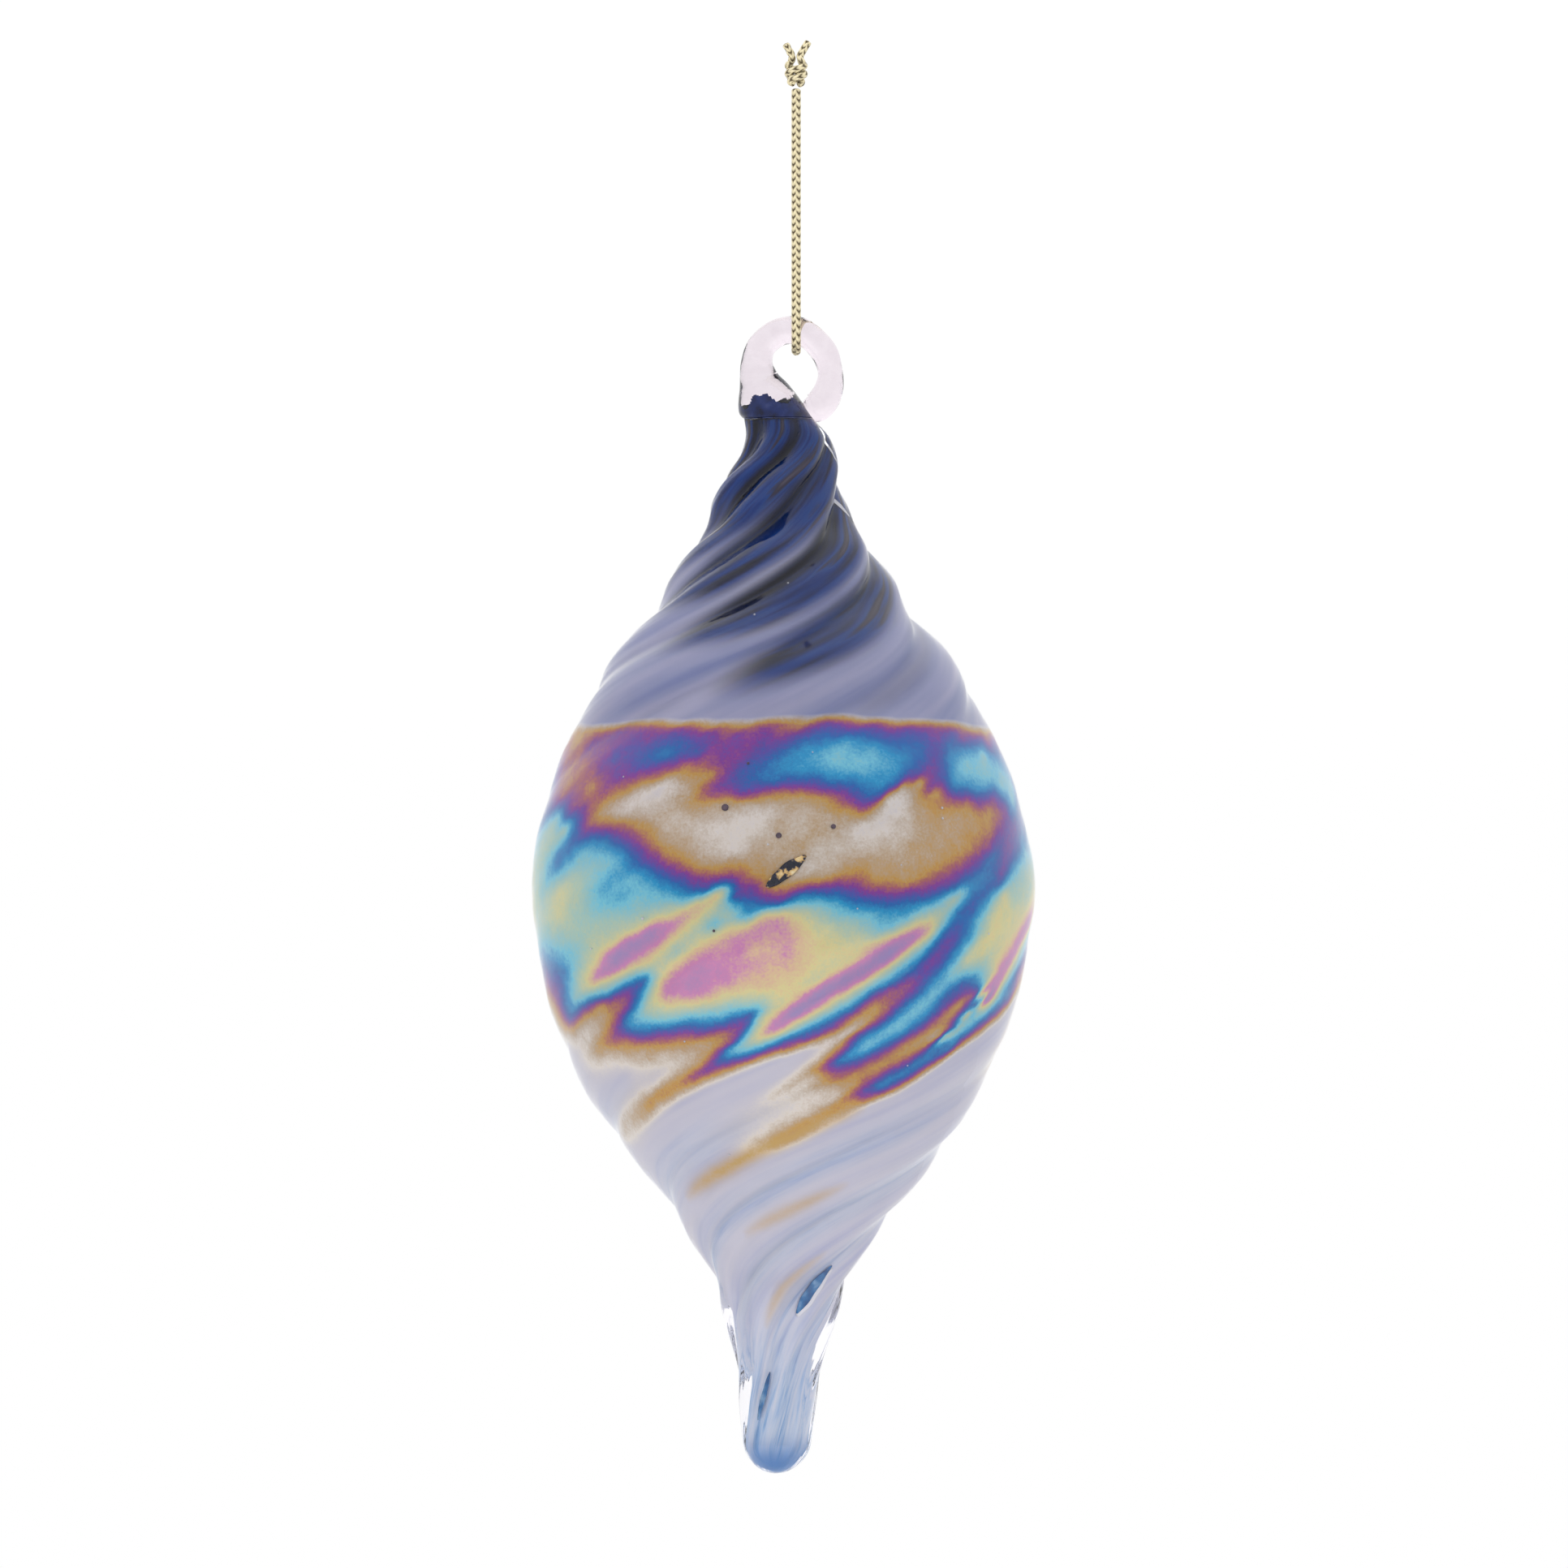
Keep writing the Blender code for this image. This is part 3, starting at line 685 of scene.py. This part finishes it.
def patched(name, scale, dark, pale, roughness, detail=2.0):
    """A plain material that wanders between two colours."""
    n = new_material(name)
    return n.set(Base_Color=n.mix(n.noise(None, scale, detail), dark, pale), Roughness=roughness)


# ---------------------------------------------------------------- camera and light


def aim(thing, target):
    thing.rotation_euler = (Vector(target) - thing.location).to_track_quat("-Z", "Y").to_euler()


def camera():
    """Level with the middle of the object, from far off, so that it is seen almost without perspective."""
    distance, seen = 1200.0, 216.9  # seen is the picture's width where the object hangs
    middle_x, middle_z = -1.68, -96.45
    data = bpy.data.cameras.new("camera")
    data.sensor_width = 36.0
    data.lens = data.sensor_width * distance / seen
    data.clip_start, data.clip_end = 50.0 * MM, 10000.0 * MM
    thing = bpy.data.objects.new("camera", data)
    thing.location = (middle_x * MM, -distance * MM, middle_z * MM)
    thing.rotation_euler = (math.pi / 2, 0.0, 0.0)
    bpy.context.scene.collection.objects.link(thing)
    bpy.context.scene.camera = thing


def soft_box(name, place, size, power):
    data = bpy.data.lights.new(name, "AREA")
    data.size = size * MM
    data.energy = power
    thing = bpy.data.objects.new(name, data)
    thing.location = Vector(place) * MM
    thing.visible_glossy = False  # so soft that the glass shows no hard reflection of it
    thing.visible_transmission = False
    aim(thing, (0.0, 0.0, -100.0 * MM))
    bpy.context.scene.collection.objects.link(thing)


def light():
    """A white sweep behind the object, a dimmer room behind the camera, and two large soft boxes."""
    world = bpy.data.worlds.new("white_sweep")
    n = Nodes(world, "Background")
    way = n.add("SeparateXYZ", {0: n.add("TexCoord").outputs["Generated"]}).outputs
    depths = {"Value": way["Y"], "From Min": -0.9, "From Max": 0.05, "To Min": ROOM_LIGHT, "To Max": 1.0}
    room = n.add("MapRange", depths).outputs[0]
    sky = n.math("MULTIPLY", way["Z"], SKY_LIGHT, use_clamp=True)
    behind = n.add("LightPath").outputs["Is Camera Ray"]  # the background itself stays white
    n.set(Color=(1.0, 1.0, 1.0, 1.0), Strength=n.math("MAXIMUM", n.math("ADD", room, sky), behind))
    bpy.context.scene.world = world
    bpy.context.scene.view_settings.view_transform = "Standard"
    soft_box("key_box", (-500, -700, 350), 600, 8.0)
    soft_box("fill_box", (600, -700, -50), 600, 5.0)


def floor():
    """A pale round table top under the hanging glass, below the camera's view."""
    sides, radius, rim, top, thick = 128, 450.0, 6.0, -290.0, 12.0
    outline = [
        (radius - rim, top), (radius - 0.3 * rim, top - 0.3 * rim), (radius, top - rim),
        (radius, top - thick),
    ]
    turns = 2 * np.pi * np.arange(sides) / sides
    rings = MM * np.array([
        np.stack([r * np.sin(turns), -r * np.cos(turns), np.full(sides, z)], -1) for r, z in reversed(outline)
    ])
    points, faces = closed_body(rings, (0, 0, (top - thick) * MM), (0, 0, top * MM))
    paint = patched("pale_table", 60.0, rgba(220, 219, 217), rgba(230, 229, 227), 0.7, detail=4.0)
    piece = new_piece("floor", points, faces, [paint])
    piece.data.set_sharp_from_angle(angle=math.radians(50))


# ---------------------------------------------------------------- cord and knot


def even_line(points, step):
    """Points at even steps along a smooth line through the given ones."""
    points = np.array(points, float)
    marks = np.concatenate([[0.0], np.cumsum(np.linalg.norm(np.diff(points, axis=0), axis=1))])
    fine = np.linspace(0.0, marks[-1], 2000)
    curve = np.stack([along(np.stack([marks, axis], -1), fine) for axis in points.T], -1)
    lengths = np.concatenate([[0.0], np.cumsum(np.linalg.norm(np.diff(curve, axis=0), axis=1))])
    count = max(int(round(lengths[-1] / step)), 4)
    wanted = np.linspace(0.0, lengths[-1], count + 1)
    return np.stack([np.interp(wanted, lengths, axis) for axis in curve.T], -1), wanted


def cord_route():
    """Down behind the eye's bar, round under it, and up in front."""
    turn_radius = BAR_RADIUS + GAP + CORD_DIAMETER / 2
    down = [(0.0, y, z) for y, z in STRAND]
    bend = [(0.0, turn_radius * math.cos(a), -LOOP_DROP - turn_radius * math.sin(a))
            for a in np.radians(range(0, 181, 20))]
    return down + bend + [(0.0, -y, z) for _, y, z in reversed(down)]


def knitted_tube(name, route, paint, diameter=CORD_DIAMETER):
    """A fine knitted tube: columns of V-shaped stitches, staggered, with hollows between the yarns that are
    darkened with painted shade.
    """
    sides, step = 40, 0.07
    centre, lengths = even_line(route, step)
    tangent = np.gradient(centre, axis=0)
    tangent /= np.linalg.norm(tangent, axis=1, keepdims=True)
    side = np.cross(tangent[0], (0.0, 1.0, 0.3))
    across = []
    for t in tangent:  # carried along without twisting
        side = side - t * np.dot(side, t)
        side /= np.linalg.norm(side)
        across.append(side)
    across = np.array(across)
    up = np.cross(tangent, across)
    turns = 360.0 * np.arange(sides) / sides
    column = turns / (360.0 / STITCH_COLUMNS)
    inside = 2 * np.abs(column % 1.0 - 0.5)  # 0 in the middle of a column, 1 between two
    stagger = 0.5 * (np.floor(column) % 2)
    phase = lengths[:, None] / STITCH + stagger + 0.42 * (1 - inside)
    yarn = 0.5 + 0.5 * np.cos(2 * np.pi * phase)
    seam = smooth_step(inside, 0.72, 1.0)
    crease = 0.35 * (1 - smooth_step(inside, 0.0, 0.16))
    # how deep each hollow is; the yarn's colour also darkens there as painted shade
    hollow_and_shade = np.clip((1 - yarn) ** 1.6 * (0.45 + 0.55 * (1 - seam)) + crease, 0, 1)
    radius = diameter / 2 * (1.0 - 0.17 * hollow_and_shade)
    ends = np.minimum(lengths, lengths[-1] - lengths) / (0.3 * diameter)
    radius = radius * (0.35 + 0.65 * np.sqrt(np.clip(1 - (1 - np.minimum(ends, 1)) ** 2, 0, 1)))[:, None]
    spin = np.radians(turns)
    out = across[:, None] * np.cos(spin)[None, :, None] + up[:, None] * np.sin(spin)[None, :, None]
    rings = centre[:, None] + out * radius[..., None]
    points, faces = closed_body(rings * MM, centre[0] * MM, centre[-1] * MM)
    piece = new_piece(name, points, faces, [paint])
    set_attribute(piece, "hollow_and_shade", np.append(hollow_and_shade.ravel(), [1.0, 1.0]))
    return piece, centre, lengths[-1]


def cord(paint, knot):
    """The loop, from the knot at its top down round the eye's bar."""
    piece, centre, length = knitted_tube("knitted_cord", cord_route(), paint)
    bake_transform(piece)
    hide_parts("hanging_cord")


def knot(paint):
    """An overhand knot in both strands, with a short tail of each on top."""
    strand = [(0.15, 0.45, 0.35), (0.8, 0.75, 0.7)]
    for turn in np.radians(np.arange(60, 361, 30)):
        rise = 1.0 + 1.9 * (turn - math.radians(60)) / math.radians(300)
        strand.append((1.1 * math.cos(turn), 1.1 * math.sin(turn), rise))
    strand += [(0.75, -0.45, 3.4), (0.55, -0.2, 4.1), (0.95, 0.05, 5.0), (1.75, 0.2, 6.3)]
    strand = np.array(strand)
    turned = strand * (-1, -1, 1)
    turned[-1] += (0.25, -0.3, -0.4)
    parts = []
    for name, route in (("knot_strand_front", strand), ("knot_strand_back", turned)):
        piece, _, _ = knitted_tube(name, route, paint, diameter=1.05)
        parts.append(piece)
    for piece in parts:
        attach(piece, "knot")
    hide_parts("cord_knot")
    return parts


# ---------------------------------------------------------------- glass


def film_space(places):
    """Places on the glass as nearly flat distances, shortened along the streaks, which follow the twist."""
    angle, height = places[..., 0], places[..., 1]
    turn = angle - twist(height)
    along_streaks, across = 0.96 * height + 0.227 * turn, 0.26 * turn
    return np.stack([along_streaks, across], -1).astype(np.float32)


def film_reach(places, centres):
    """How much each centre counts at each place, also from two turns on either side."""
    total = 0.0
    for turn in range(-720, 721, 360):
        there = film_space(places + (turn, 0.0))
        apart = np.sqrt(((there[:, None] - centres[None]) ** 2).sum(-1) + FILM_SMOOTH)
        total = total + np.exp(-apart / FILM_REACH)
    return total


def film_at(angle, height):
    """The film's thickness at places on the glass: a smooth surface through FILM's points, front and back."""
    front = [(a, h, thick) for thick, places in FILM for a, h in places]
    back = [(a + BACK_SHIFT[0], h + BACK_SHIFT[1], thick) for a, h, thick in front]
    bare = [(a, h, 0.0) for a in range(-180, 180, 24) for h in (FILM_TOP, FILM_FOOT)]
    known = np.array(front + back + bare)
    centres = film_space(known[:, :2])
    count = len(known)
    system = np.ones((count + 1, count + 1))
    system[-1, -1] = 0.0
    system[:count, :count] = film_reach(known[:, :2], centres) + FILM_SLACK * np.eye(count)
    weights = np.linalg.solve(system, np.append(known[:, 2], 0.0))
    places = np.stack([angle, height], -1)
    thick = np.zeros(len(places))
    banded = np.flatnonzero((height > FILM_FOOT) & (height < FILM_TOP))
    for part in np.array_split(banded, 24):
        thick[part] = film_reach(places[part], centres) @ weights[:-1] + weights[-1]
    fade = smooth_step(height, FILM_FOOT, FILM_FOOT + 4) * (1 - smooth_step(height, FILM_TOP - 4, FILM_TOP))
    edge = film_edge(angle)
    return np.clip(thick, 0.0, FILM_THICKEST) * fade * (1 - smooth_step(height, edge - 1.4, edge + 1.6))


def film_edge(angle):
    """The height of the film's upper edge, all round."""
    turned = np.radians(angle)
    wave = 0.25 * np.sin(3 * turned + 0.6) + 0.12 * np.sin(7 * turned)
    return EDGE_BACK + (EDGE_FRONT - EDGE_BACK) * (0.5 + 0.5 * np.cos(turned)) + wave


def gold_streaks(angle, height):
    """The strongest of STREAKS at each place."""
    return np.max([strength * streak(angle, height, marks, width) for strength, width, marks in STREAKS], 0)


def streak(angle, height, marks, width):
    """A soft tapering line over the glass through the marks, from 1 on the line to 0."""
    near, reached = np.full(len(angle), 1e9), np.zeros(len(angle))
    marks = np.array(marks, float)
    for number, ((a0, h0), (a1, h1)) in enumerate(zip(marks[:-1], marks[1:])):
        size = np.radians(along(RADIUS, (h0 + h1) / 2))
        x = ((angle - a0 + 180) % 360 - 180) * size
        y = height - h0
        dx, dy = (a1 - a0) * size, h1 - h0
        t = np.clip((x * dx + y * dy) / (dx * dx + dy * dy), 0, 1)
        apart = (x - t * dx) ** 2 + (y - t * dy) ** 2
        reached = np.where(apart < near, (number + t) / (len(marks) - 1), reached)
        near = np.minimum(near, apart)
    taper = np.sin(np.pi * np.clip(reached, 0.0, 1.0)) ** 0.6
    return np.exp(-near / (width * (0.4 + 0.6 * taper)) ** 2) * taper


def grounds(angle, height):
    """Shares of the other colours in the bubble's pale ground colour, painted highlight and painted groove
    shade among them.
    """
    phase = np.radians(RIBS * (angle - twist(height)))
    crest = 0.5 + 0.5 * np.cos(phase - math.radians(90))  # the painted highlight lies beside each crest
    navy_foot = 107.5 + 6.5 * crest - 6.0 * np.cos(2 * np.radians(angle - 10))
    navy = smooth_step(height, navy_foot, navy_foot + 9.0 + 4.0 * crest)
    # painted highlight: a pale streak beside each rib crest on the neck, where light glances off
    pearl_highlight = crest**7 * smooth_step(height, 108.0, 116.0) * (1 - smooth_step(height, 120.0, 138.0)) * 0.85
    valley = 0.5 - 0.5 * np.cos(phase)
    # painted shade: the neck's rib grooves darkened towards near-black
    groove = 0.75 * valley**4 * smooth_step(height, 114.0, 124.0)
    blue = 0.9 * (1 - smooth_step(height, 8.0, 28.0))
    low_valleys = 0.45 * valley**2 * (1 - smooth_step(height, 44.0, 58.0))
    deep = 1 - smooth_step(height, 1.5, 6.5)
    # the ground turns darker and bluer from 92 mm up
    upper_tone = smooth_step(height, 92.0, 108.0)
    return {"navy": navy, "pearl_highlight": pearl_highlight, "blue": np.maximum(blue, low_valleys), "deep": deep, "upper_tone": upper_tone,
            "groove": groove}


def flow(angle, height):
    """Coordinates that run with the twist, so that noise drawn in them makes drawn-out streaks."""
    turn = np.radians(angle - twist(height))
    return np.stack([np.cos(turn), np.sin(turn), height / FLOW_LENGTH], -1)


def glass_rings(heights, radius, sides):
    """Rings of points on a surface whose radius is a function of the place, with their places."""
    angle = 360.0 * np.arange(sides) / sides
    angle, height = np.meshgrid(angle, heights)
    return at(angle, height, radius(angle, height)), angle, height


def round_ring(radius, height, sides):
    """A plain ring for the rim and the well of the neck."""
    turn = 2 * np.pi * np.arange(sides) / sides
    x = along(CENTRE_X, max(height, WELL_TURN)) + radius * np.sin(turn)
    return np.stack([x, -radius * np.cos(turn), np.full(sides, TIP_Z + height)], -1) * MM


def end_spaced(low, high, bend, step):
    """Heights from a round end upwards, close together in the round."""
    start = low + bend * (1 - np.cos(np.radians(np.arange(4, 90, 6))))
    return np.concatenate([start, np.arange(low + bend, high, step), [high]])


def casing(glass, joint, coat):
    """The clear outer glass, open inside for the bubble, with the navy coat round the top of its neck."""
    sides = 240
    outer, angle, height = glass_rings(end_spaced(0.0, CASING_TOP, TIP_ROUND, 0.55), outside_radius, sides)
    inner, inner_angle, inner_height = glass_rings(
        end_spaced(BUBBLE_BOTTOM - 0.25, BUBBLE_TOP + 0.15, BUBBLE_END_ROUND, 1.3)[::-1],
        lining_radius, sides)
    rim = [
        round_ring(r, h, sides)
        for r, h in ((2.5, CASING_TOP), (2.2, CASING_TOP - 0.06), (2.2, BUBBLE_TOP + 0.2))
    ]
    rings = np.concatenate([outer, rim, inner])
    outer_tip, inner_tip = at(0.0, 0.0, 0.0), at(0.0, BUBBLE_BOTTOM - 0.3, 0.0)
    points, faces = closed_body(rings, outer_tip, inner_tip)
    piece = new_piece("clear_casing", points, faces, [glass, joint, coat])
    # The faces run up the outside, over the rim and down the inside, then come the two ends' fans.
    first_coated = int(np.searchsorted(outer[:, 0, 2], (TIP_Z + COAT_FOOT) * MM)) * sides
    first_inner = (len(outer) + len(rim) - 1) * sides
    outer_fan = len(faces) - 2 * sides
    number = np.ones(len(faces), np.int32)
    number[:first_coated] = 0
    number[first_coated:first_inner] = 2
    number[outer_fan:outer_fan + sides] = 0
    piece.data.polygons.foreach_set("material_index", number)
    flows = [
        flow(angle.ravel(), height.ravel()),
        np.tile((0.0, 0.0, CASING_TOP / FLOW_LENGTH), (len(rim) * sides, 1)),
        flow(inner_angle.ravel(), inner_height.ravel()),
        np.zeros((2, 3)),
    ]
    set_attribute(piece, "flow", np.concatenate(flows), "FLOAT_VECTOR")
    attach(piece, "glass")
    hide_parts("glass_casing")


def bubble(paint):
    """The lustred bubble, solid here, with a blind well in its top for the eye's foot."""
    sides = 300
    wall, angle, height = glass_rings(
        end_spaced(BUBBLE_BOTTOM, BUBBLE_TOP, BUBBLE_END_ROUND, 0.6), bubble_radius, sides)
    well = [
        round_ring(r, h, sides)
        for r, h in ((3.0, BUBBLE_TOP + 0.05), (NECK_BORE, BUBBLE_TOP - 0.2), (NECK_BORE, FOOT_WELL))
    ]
    rings = np.concatenate([wall, well])
    points, faces = closed_body(rings, at(0.0, BUBBLE_BOTTOM, 0.0), at(0.0, FOOT_WELL, 0.0))
    piece = new_piece("lustred_bubble", points, faces, [paint])
    angle, height = angle.ravel(), height.ravel()
    angle = (angle + 180) % 360 - 180
    rest = len(points) - len(angle)  # the points of the well and the two ends
    shares = grounds(angle, height)
    shares["film"] = film_at(angle, height)
    shares["gold"] = gold_streaks(angle, height)
    for name, values in shares.items():
        set_attribute(piece, name, np.append(values, np.full(rest, float(name == "navy"))))
    flows = np.concatenate([flow(angle, height), np.tile((0.0, 0.0, BUBBLE_TOP / FLOW_LENGTH), (rest, 1))])
    set_attribute(piece, "flow", flows, "FLOAT_VECTOR")
    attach(piece, "glass")
    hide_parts("colour_bubble")


def coat_height(x, y):
    """The height of the navy coat's ragged edge on the eye's leg."""
    front = along(COAT_EDGE, x)
    return np.where(y < 0, front, front - COAT_BACK)


def rod_point(t):
    """(x, height, radius) of the eye's rod at point t: separate points in the foot, a smooth line above."""
    rod = np.array(EYE_ROD)
    if t < EYE_BASE:
        return rod[int(t)]
    numbers = np.arange(EYE_BASE, len(rod))
    return np.array([along(np.stack([numbers, axis], -1), t) for axis in rod[EYE_BASE:].T])


def eye(glass, coat):
    """The clear rod: a foot in the neck, a broad leg with the navy coat's ragged edge, and a curled ring."""
    sides, step, last = 96, 0.06, len(EYE_ROD) - 1
    places = np.concatenate([range(EYE_BASE), np.arange(EYE_BASE, last + 0.01, step)])
    turn = 2 * np.pi * np.arange(sides) / sides
    rings = []
    for t in places:
        x, height, radius = rod_point(t)
        run = rod_point(min(t + 0.25, last)) - rod_point(max(t - 0.25, EYE_BASE))
        tangent = Vector((run[0], 0.0, run[1])).normalized()
        follows = min(max(t - EYE_BASE, 0.0) / EYE_BASE_TURN, 1.0)
        along_rod = Vector((0.0, 0.0, 1.0)).lerp(tangent, follows).normalized()
        across = np.array(Vector((0.0, 1.0, 0.0)).cross(along_rod))
        uneven = 1 + 0.012 * np.sin(3 * turn + 1.7 * t) + 0.01 * math.sin(2.3 * t)
        out = across * np.cos(turn)[:, None] + np.array([0.0, 1.0, 0.0]) * np.sin(turn)[:, None]
        rings.append(np.array([x, 0.0, TIP_Z + height]) + out * (radius * uneven)[:, None])
    end = np.array(along_rod)
    cap = []
    for lean in np.radians((25, 45, 62, 76)):
        middle = np.array([x, 0.0, TIP_Z + height]) + end * radius * EYE_END_BULGE * math.sin(lean)
        cap.append(middle + out * radius * math.cos(lean))
    rings = np.array(rings + cap)
    tip = np.array([x, 0.0, TIP_Z + height]) + end * radius * EYE_END_BULGE
    points, faces = closed_body(rings * MM, rings[0].mean(0) * MM, tip * MM)
    piece = new_piece("curled_eye", points, faces, [glass, coat])
    middles = np.array([np.mean([points[i] for i in face], 0) for face in faces]) / MM
    low = middles[:, 2] - TIP_Z < coat_height(middles[:, 0], middles[:, 1])
    leg = np.arange(len(faces)) <= len(faces) // 2  # the free end comes down as low, but is not coated
    piece.data.polygons.foreach_set("material_index", (low & leg).astype(np.int32))
    set_attribute(piece, "flow", points / MM / COAT_GRAIN, "FLOAT_VECTOR")
    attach(piece, "glass")
    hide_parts("hanging_eye")


def almond(name, start, end, width, depth, paint, lift=0.35):
    """A small pointed body between two places on the glass, just over the bubble."""
    sides, steps = 16, 24
    start, end = np.array(start, float), np.array(end, float)
    rings = []
    for t in np.linspace(0.02, 0.98, steps):
        angle, height = start + (end - start) * t
        size = math.sin(math.pi * t) ** 0.65
        here = bubble_radius(angle, height) + lift
        middle = at(angle, height, here)
        ahead = at(*(start + (end - start) * (t + 0.02)), here) - middle
        turn = math.radians(angle)
        outward = np.array([math.sin(turn), -math.cos(turn), 0.0])
        across = np.cross(ahead, outward)
        across /= np.linalg.norm(across)
        outward = np.cross(across, ahead)
        outward /= np.linalg.norm(outward)
        wobble = 1 + 0.07 * math.sin(9 * t + height)
        spin = 2 * np.pi * np.arange(sides) / sides
        ring = across * np.cos(spin)[:, None] * width / 2 * size * wobble
        rings.append(middle + (ring + outward * np.sin(spin)[:, None] * depth / 2 * size) * MM)
    rings = np.array(rings)
    points, faces = closed_body(rings, rings[0].mean(0), rings[-1].mean(0))
    piece = new_piece(name, points, faces, [paint])
    piece.data.flip_normals()
    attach(piece, "glass")


def specks(name, places, paint):
    """Small round grains in the glass, just over the bubble: (angle, height, radius)."""
    sides, lift, half_depth = 10, 0.3, 0.12
    points, faces = [], []
    spin = 2 * np.pi * np.arange(sides) / sides
    for angle, height, radius in places:
        turn = math.radians(angle)
        outward = np.array([math.sin(turn), -math.cos(turn), 0.0])
        across = np.array([math.cos(turn), math.sin(turn), 0.0])
        middle = at(angle, height, bubble_radius(angle, height) + lift)
        rings = []
        for lean in np.radians(range(-60, 61, 30)):
            flat = across * np.cos(spin)[:, None] + np.array([0.0, 0.0, 1.0]) * np.sin(spin)[:, None]
            bulge = outward * half_depth * math.sin(lean)
            rings.append(middle + (flat * radius * math.cos(lean) + bulge) * MM)
        pole = outward * (half_depth + 0.01) * MM
        back, front = middle - pole, middle + pole
        grain_points, grain_faces = closed_body(np.array(rings), back, front)
        faces += [tuple(i + len(points) for i in face) for face in grain_faces]
        points += grain_points.tolist()
    piece = new_piece(name, points, faces, [paint])
    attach(piece, "glass")


def flecks():
    """The marks in the glass: a gold chip in the belly, blue windows in the tip, pale grains, and white
    streaks at the neck's right edge that are painted highlights.
    """
    window = window_blue()
    ink = patched("speck_dark", 900.0, rgba(60, 46, 70), rgba(110, 84, 104), 0.3)
    # one white for the pale grains, the window's rim and the painted highlights
    white = patched("white_marks_and_highlights", 300.0, rgba(228, 230, 242), rgba(250, 250, 254), 0.2)
    almond("gold_chip", (-4, 81.4), (5.5, 85.8), 1.9, 0.25, chip_metal())
    almond("tip_window", (21, 22.4), (50, 29.4), 1.6, 0.3, window)
    almond("tip_window_rim", (22.5, 22.0), (52.5, 29.0), 1.9, 0.2, white, 0.22)
    almond("tip_window_low", (-40, 7.5), (-15, 14.5), 0.7, 0.3, window)
    # painted highlights: white streaks at the neck's right edge
    almond("neck_highlight_high", (60, 144.6), (84, 139.4), 0.5, 0.2, white, 0.2)
    almond("neck_highlight_low", (72, 136.6), (88, 132.0), 0.9, 0.25, white)
    specks("dark_specks", DARK_SPECKS, ink)
    specks("pale_specks", PALE_SPECKS, white)


def main():
    camera()
    yarn = metallic_yarn()
    cord(yarn, knot(yarn)[0])
    coat = navy_coat()
    casing(clear_glass(), fused_joint(), coat)
    bubble(lustre())
    eye(eye_glass(), coat)
    flecks()
    floor()
    light()


main()
